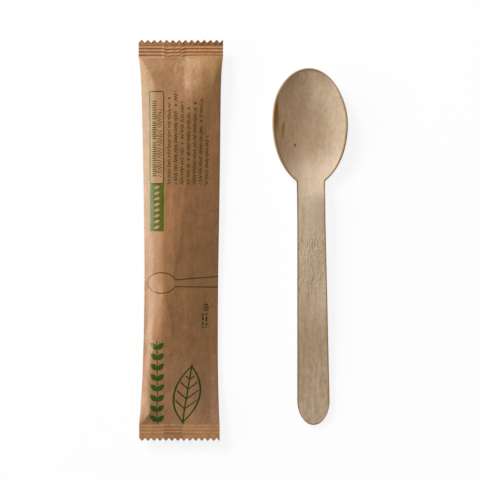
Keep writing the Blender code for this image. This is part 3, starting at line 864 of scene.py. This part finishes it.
# Patterns in the paper: cells per millimetre, detail, roughness, stretch across and along, distortion
kraftGrain = {
    "mottle": (0.35, 4, 0.6, (1.0, 0.7), 0.0),
    "fibre": (3.2, 3, 0.65, (1.0, 0.22), 0.8),
    "crossFibre": (3.4, 3, 0.65, (0.3, 1.0), 0.8),
    "fleck": (1.6, 2, 0.5, (1.0, 0.5), 1.2),
}
kraftTone = {"mottle": 1.1, "fibre": 1.5, "crossFibre": 0.9, "fleck": 0.75, "darkFleck": -0.35}
# Zones of the flat paper in millimetres, up it unless named across: fading in, and fading out
kraftZones = {
    "scuffed": (-20, 30, 70, 80), "upperEnd": (60, 76), "upperEndAcross": (-12, 4),
    "lowerEnd": (-74, -40), "scuffedEnd": (-74, -56), "rubbed": (-68, -52), "lowerRightShadeAcross": (5, 13),
    "flat": (-10, 26, 60, 68), "flatAcross": (-8, -5, 7, 12), "glossAcross": (-14.7, -12.6),
}


def kraftMaterial():
    material, tree, shader = newMaterial("kraftPaper")
    x, y, isFront = (readPoint(tree, name) for name in ("flatX", "flatY", "isFront"))
    place = addNode(tree, "ShaderNodeCombineXYZ", {0: x, 1: y, 2: isFront * 7.0}).outputs[0]
    patterns = {name: grainNoise(tree, place, *grain) for name, grain in kraftGrain.items()}
    tone = 0.5 + patterns["fleck"].ramp(0.64, 0.76) * kraftTone["darkFleck"]
    for name, pattern in patterns.items():
        tone = tone + (pattern - 0.5) * kraftTone[name]
    colour = mixColour(tree, tone.clamped(), kraft["dark"], kraft["light"])

    # The heat of the sealing jaws browns the ends, most of all along the cut. The upper teeth are also
    # painted darker towards the right, which is painted shade where they curl up away from the light
    beyond = y.size()
    upper = y.above(0.0)
    tooth = (((x + crimp["halfWidth"]) / crimp["toothPitch"]).fraction() - 0.5).size() * 2
    fromCut = (crimp["cutEnd"] - beyond) * (1 - tooth * crimp["toothShear"])
    cutLine = (1 - fromCut.ramp(0.10, 0.80)) * (upper * 0.3 + 0.7)
    browned = beyond.ramp(86.9, 87.5) * upper * (x.ramp(-10, 12) * 0.35 + 0.02)
    browned = browned.atLeast(cutLine).atLeast(lump(beyond, 87.4, 0.35) * upper * 0.8)
    # Painted shade and painted highlight on the ribs of the seals
    ribShade = readPoint(tree, "ribShade") * (upper * 0.5 + 0.5)
    ribLight = readPoint(tree, "ribLight") * upper
    onFin = x.above(crimp["finLeft"]) * x.below(crimp["finRight"]) * isFront
    lowerSeal = y.below(-crimp["sealStart"])
    onWall = x.below(kraft["wallX"]) * isFront
    zones = kraftZones
    upperEnd = y.ramp(*zones["upperEnd"]) * y.below(crimp["sealStart"])
    # Painted shade on the front's lower right, where it slopes away from the light
    rubbed = x.ramp(*zones["lowerRightShadeAcross"]) * (1 - y.ramp(*zones["rubbed"])) * isFront
    tints = (
        # Painted sheen on the left wall, paler and less saturated where it faces the light
        (onWall * zone(y, *zones["scuffed"]), "scuffed"),
        (upperEnd * (x.ramp(*zones["upperEndAcross"]) * 0.6 + 0.4), "upperEnd"),
        (y.above(crimp["sealStart"]), "upperSeal"), (1 - y.ramp(*zones["lowerEnd"]), "lowerEnd"),
        # Painted sheen low on the left wall
        (onWall * (1 - y.ramp(*zones["scuffedEnd"])) * (1 - lowerSeal), "scuffedEnd"),
        (rubbed * (1 - lowerSeal), "rubbed"),
        (lowerSeal * (1 - onFin), "lowerSeal"), (lowerSeal * onFin, "lowerFin"),
        # Paler in a patch over the middle of the front
        (zone(x, *zones["flatAcross"]) * zone(y, *zones["flat"]) * isFront, "pressedFlat"),
        (ribLight, "pressed"), (browned, "browned"), (ribShade, "ribShade"),
    )
    for amount, name in tints:
        colour = tinted(tree, amount, colour, kraft[name])

    matt = Sum(tree, kraft["roughness"])
    fibre = patterns["fibre"]
    for name, shape in printShapes(tree, x, y).items():
        covered = (shape * isFront * (fibre * 0.7 + 0.66)).clamped()
        colour = tinted(tree, covered, colour, inks[name])
        matt = matt - covered * x.ramp(*zones["glossAcross"]) * kraft["inkGloss"]
    height = fibre * 0.8 + patterns["crossFibre"] * 0.6 + patterns["mottle"] * 1.4
    feed(tree, shader, {
        "Base Color": colour, "Roughness": matt,
        "Specular IOR Level": kraft["sheen"], "Normal": bumped(tree, height, kraft["relief"]),
    })
    return material


# What each ink does to the paper's colour
inks = {
    "block": (0.20, 0.56, 0.0),
    "rows": (0.085, 0.33, 0.0),
    "outline": (0.24, 0.36, 0.02),
    "leaves": (0.10, 0.44, 0.0),
    "largeLeaf": (0.05, 0.32, 0.0),
}
# The print, in millimetres on the flat paper: x across it and y along it
prints = {
    "edgeSoftness": 0.07,
    "skew": 0.013,
    "frame": {"left": -14.85, "right": -8.15, "bottom": 25.4, "top": 66.6, "round": 0.6, "line": 0.50},
    "block": {"left": -14.95, "right": -7.95, "bottom": 4.1, "top": 25.4, "leafPitch": 2.55},
    "ticks": {
        "x": -12.65, "tall": 2.5, "pitch": 0.98, "line": 0.52, "bottom": 28.2, "top": 62.8, "group": 9.5,
    },
    "thinWave": {
        "x": -10.15, "tall": 2.0, "pitch": 1.35, "line": 0.32, "bottom": 28.2, "top": 58.8, "group": 7.0,
    },
    "waves": {
        "firstX": -5.53, "spacing": 3.025, "tall": 1.4, "pitch": 1.16, "line": 0.38, "group": 4.6,
        "dot": 0.5,
    },
    "ladle": {"x": -9.95, "y": -19.0, "long": 7.2, "wide": 4.6, "line": 0.52},
    "marks": {"left": 10.2, "right": 13.9, "top": -32.8, "bottom": -39.2, "ringX": 12.7, "ringY": -30.0},
    "sprig": {
        "x": -11.6, "lean": 0.04, "bottom": -82.3, "top": -45.0, "pitch": 4.66,
        "leafX": 1.58, "long": 2.3, "wide": 1.22,
    },
    "leaf": {
        "x": 3.6, "y": -68.9, "long": 12.6, "wide": 6.3, "line": 0.86, "lean": 0.16, "veins": 4.4,
        "veinEnd": 8.2,
    },
}
# Where each wavy row runs, from and to, and where its dots are
waveRows = [
    ([(25, 61.5)], [63.6]),
    ([(25, 58.5), (62, 66.6)], [60.5]),
    ([(25, 41.5), (45.2, 62)], [43.4]),
    ([(25, 34.4), (38, 57.2)], [36.2, 59.1]),
    ([(25, 59.6)], [61.4]),
    ([(25, 51.6), (55.2, 63.5)], [53.4]),
    ([(25, 47)], []),
]


def inside(away):
    # 1 where a distance is below zero, with a soft edge
    soft = prints["edgeSoftness"]
    return 1 - away.ramp(-soft, soft)


def boxAway(x, y, left, right, bottom, top, corner=0.0):
    # Distance to a rectangle's edge, below zero inside it
    dx = (x - (left + right) / 2).size() - ((right - left) / 2 - corner)
    dy = (y - (bottom + top) / 2).size() - ((top - bottom) / 2 - corner)
    outside = length2(dx.atLeast(0.0), dy.atLeast(0.0))
    return outside + dx.atLeast(dy).atMost(0.0) - corner


def leafAway(along, beside, long, wide):
    # A pointed leaf: its half width falls off with the square of the way to its tip
    return beside.size() - (1 - (along / long).squared()) * wide


def waveAway(across, y, shift, tall, pitch, line):
    # Distance to a wavy line, whose waves are now taller and now lower
    turn = y * (2 * math.pi / pitch) + shift
    reach = ((y * 2.3 + shift).sin() * 0.3 + 1) * (tall / 2 - line / 2)
    slope = turn.cos() * reach * (2 * math.pi / pitch)
    return (across - turn.sin() * reach).size() / (1 + slope.squared()).root() - line / 2


def groupGaps(tree, y, shift, group):
    # 0 in the gaps between groups of uneven length
    inputs = {"Scale": 1.0, "Randomness": 0.7, "W": y / group + shift}
    kind = "ShaderNodeTexVoronoi"
    node = addNode(tree, kind, inputs, voronoi_dimensions="1D", feature="DISTANCE_TO_EDGE")
    return (Sum(tree, node.outputs["Distance"]) * group).ramp(0.22, 0.34)


def between(value, bottom, top):
    return value.above(bottom) * value.below(top)


def blockPrint(x, y):
    # A solid block with a row of leaves left bare in it
    block = prints["block"]
    solid = inside(boxAway(x, y, block["left"], block["right"], block["bottom"], block["top"]))
    v = (((y - block["bottom"] - 0.5) / block["leafPitch"]).fraction() - 0.5) * block["leafPitch"]
    u = x - (block["left"] + block["right"]) / 2
    bare = inside(leafAway(u + v * 0.5, v - u * 0.35, 1.75, 0.68))
    return solid * (1 - bare * between(y, block["bottom"] + 0.5, block["top"] - 0.5))


def framePrint(tree, x, y):
    # The thin frame, and in it a row of strokes beside a wavy row
    frame, ticks, thin = prints["frame"], prints["ticks"], prints["thinWave"]
    away = boxAway(x, y, frame["left"], frame["right"], frame["bottom"], frame["top"], frame["round"])
    place = ((y / ticks["pitch"]).fraction() - 0.5).size() * ticks["pitch"] - ticks["line"] / 2
    uneven = ((y / ticks["pitch"]).whole() * 2.7).sin() * 0.13 + 0.87
    stroke = place.atLeast((x - ticks["x"]).size() - uneven * (ticks["tall"] / 2))
    strokes = inside(stroke) * between(y, ticks["bottom"], ticks["top"])
    strokes = strokes * groupGaps(tree, y, 11.3, ticks["group"])
    wave = waveAway(x - thin["x"], y, 0.7, thin["tall"], thin["pitch"], thin["line"])
    wavy = inside(wave) * between(y, thin["bottom"], thin["top"])
    wavy = wavy * groupGaps(tree, y, 5.7, thin["group"])
    return inside(away.size() - frame["line"] / 2).atLeast(strokes).atLeast(wavy)


def wavyRows(tree, x, y):
    waves = prints["waves"]
    count = ((x - waves["firstX"]) / waves["spacing"] + 0.5).whole()
    across = x - (count * waves["spacing"] + waves["firstX"])
    runs = dots = 0
    for index, (ends, places) in enumerate(waveRows):
        here = count.step("COMPARE", float(index), 0.1)
        runs = runs + here * sum(between(y, bottom, top) for bottom, top in ends)
        for place in places:
            dots = dots + here * inside(length2(across, y - place) - waves["dot"])
    stroke = waveAway(across, y, count * 2.1, waves["tall"], waves["pitch"], waves["line"])
    return inside(stroke) * runs * groupGaps(tree, y, count * 37.3, waves["group"]) + dots


def lowerPrint(tree, x, y):
    # A spoon in outline that runs off the right edge, and two rows of small marks
    ladle, marks = prints["ladle"], prints["marks"]
    u, v = (x - ladle["x"]) / ladle["long"], (y - ladle["y"]) / ladle["wide"]
    out = length2(u, v)
    bowl = out * (out - 1) / length2(u / ladle["long"], v / ladle["wide"])
    stem = (y - ladle["y"] + 0.1 - (x + 2.4) * 0.024).size() - (1.55 + (x + 2.4) * 0.040)
    stem = stem.atLeast(-6.0 - x)
    ink = inside(bowl.atMost(stem).size() - ladle["line"] / 2)
    rowWide = (marks["right"] - marks["left"]) / 2
    dash = (((x - marks["left"]) / rowWide).fraction() - 0.5).size() * rowWide - 0.34
    pieces = inside(dash - 0.12) * groupGaps(tree, y, (x - marks["left"]).above(rowWide) * 3.1, 2.1)
    pieces = pieces * between(x, marks["left"], marks["right"]) * between(y, marks["bottom"], marks["top"])
    fromRing = length2(x - marks["ringX"], (y - marks["ringY"]) * 0.8)
    return ink, pieces.atLeast(inside((fromRing - 1.1).size() - 0.26)).atLeast(inside(fromRing - 0.42))


def leafPrint(x, y):
    # A solid sprig of paired leaves, and one large leaf in outline with its veins
    sprig, leaf = prints["sprig"], prints["leaf"]
    beside = (x - sprig["x"] + (y + 50) * sprig["lean"]).size()
    up = ((y - sprig["bottom"]) / sprig["pitch"]).fraction() * sprig["pitch"] - sprig["pitch"] / 2
    out = beside - sprig["leafX"]
    blade = leafAway(out * 0.77 + up * 0.64, up * 0.77 - out * 0.64, sprig["long"], sprig["wide"])
    stem = beside - 0.26
    heavy = inside(blade.atMost(stem)) * between(y, sprig["bottom"], sprig["top"])

    v = y - leaf["y"]
    u = x - leaf["x"] - v * leaf["lean"]
    rim = leafAway(v, u, leaf["long"], leaf["wide"])
    outline = rim.size() * 0.9 - leaf["line"] / 2
    rib = (u.size() - leaf["line"] * 0.45).atLeast(v.size() - leaf["long"] - 0.9)
    vein = ((v - u.size() * 0.75) / leaf["veins"]).fraction() - 0.5
    vein = (vein.size() * leaf["veins"] * 0.8 - leaf["line"] * 0.36).atLeast(rim + 0.9)
    vein = vein.atLeast(v.size() - leaf["veinEnd"])
    return heavy, inside(outline.atMost(rib).atMost(vein))


def printShapes(tree, x, y):
    outline, marks = lowerPrint(tree, x, y)
    straight = x + (46 - y) * prints["skew"]
    rows = framePrint(tree, straight, y).atLeast(wavyRows(tree, straight, y)).atLeast(marks)
    leaves, largeLeaf = leafPrint(x, y)
    block = blockPrint(straight, y)
    return {"block": block, "rows": rows, "outline": outline, "leaves": leaves, "largeLeaf": largeLeaf}


def makeWrapper():
    material = kraftMaterial()
    wrapper = addObject("paperWrapper", wrapperMesh())
    addTree(wrapper, crimpTree(material), crimp)
    mesh = settle(wrapper)
    mesh.transform(Matrix.Translation((layout["wrapperX"] * mm, 0, 0)))
    mesh.set_sharp_from_angle(angle=math.radians(60))
    return wrapper


# Table, lights and camera

studio = {
    "pixel": 0.4486, "pixelHeight": 4.0, "lens": 200.0, "sensor": 36.0, "imageSize": 480,
    "targetX": -1.27, "targetY": 0.2, "fill": 0.13, "tableGlow": 0.86, "tableHalf": 3.0,
    "lampDistance": 2.4,
}
# Directions in degrees: azimuth turns from +X towards +Y, elevation is above the table
lamps = {
    "keyLight": {"azimuth": 131, "elevation": 29, "wide": 0.9, "tall": 0.7, "watts": 63.0, "glossy": True},
    "sideLight": {"azimuth": 180, "elevation": 15, "wide": 1.2, "tall": 0.5, "watts": 33.0, "glossy": True},
    "topLight": {"azimuth": 89, "elevation": 59, "wide": 0.8, "tall": 0.6, "watts": 15.5, "glossy": False},
}


def seenByCamera(tree):
    return Sum(tree, addNode(tree, "ShaderNodeLightPath", {}).outputs["Is Camera Ray"])


def softbox(name, box):
    # An area lamp that points at the middle of the table
    data = bpy.data.lights.new(name, "AREA")
    data.shape = "RECTANGLE"
    data.size, data.size_y, data.energy = box["wide"], box["tall"], box["watts"]
    lamp = addObject(name, data)
    azimuth, elevation = math.radians(box["azimuth"]), math.radians(box["elevation"])
    flat = math.cos(elevation)
    away = Vector((flat * math.cos(azimuth), flat * math.sin(azimuth), math.sin(elevation)))
    lamp.location = away * studio["lampDistance"]
    lamp.rotation_euler = (-away).to_track_quat("-Z", "Y").to_euler()
    lamp.visible_camera = False
    lamp.visible_glossy = box["glossy"]


def makeStudio():
    data = bpy.data.cameras.new("camera")
    data.lens, data.sensor_width = studio["lens"], studio["sensor"]
    data.clip_start, data.clip_end = 0.05, 20
    camera = addObject("camera", data)
    bpy.context.scene.camera = camera
    seen = studio["imageSize"] * studio["pixel"]
    above = seen * studio["lens"] / studio["sensor"] + studio["pixelHeight"]
    camera.location = (studio["targetX"] * mm, studio["targetY"] * mm, above * mm)

    # The world is white to the camera and a weak fill light to everything else
    world = bpy.data.worlds.new("world")
    bpy.context.scene.world = world
    world.use_nodes = True
    tree = world.node_tree
    strength = choose(seenByCamera(tree), 1.0, studio["fill"])
    feed(tree, tree.nodes["Background"], {"Color": (1, 1, 1, 1), "Strength": strength})

    for name, box in lamps.items():
        softbox(name, box)
    makeTable()


def makeTable():
    mesh = bpy.data.meshes.new("table")
    half = studio["tableHalf"]
    corners = [(-half, -half, 0), (half, -half, 0), (half, half, 0), (-half, half, 0)]
    mesh.from_pydata(corners, [], [(0, 1, 2, 3)])
    table = addObject("table", mesh)
    material, tree, shader = newMaterial("whiteTable")
    feed(tree, shader, {"Base Color": (0.93, 0.93, 0.93, 1), "Roughness": 0.9, "Specular IOR Level": 0.0})
    glow = addNode(tree, "ShaderNodeEmission", {}).outputs[0]
    share = seenByCamera(tree) * studio["tableGlow"]
    mix = addNode(tree, "ShaderNodeMixShader", {"Fac": share, 1: shader.outputs[0], 2: glow})
    feed(tree, tree.nodes["Material Output"], {"Surface": mix.outputs[0]})
    mesh.materials.append(material)


spoon = makeSpoon()
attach(spoon, "root")
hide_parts("wooden_spoon")
print("spoon pressed:", len(spoon.data.polygons), "faces")

wrapper = makeWrapper()
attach(wrapper, "root")
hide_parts("paper_wrapper")
print("wrapper sealed:", len(wrapper.data.polygons), "faces")

makeStudio()
print("studio lit")
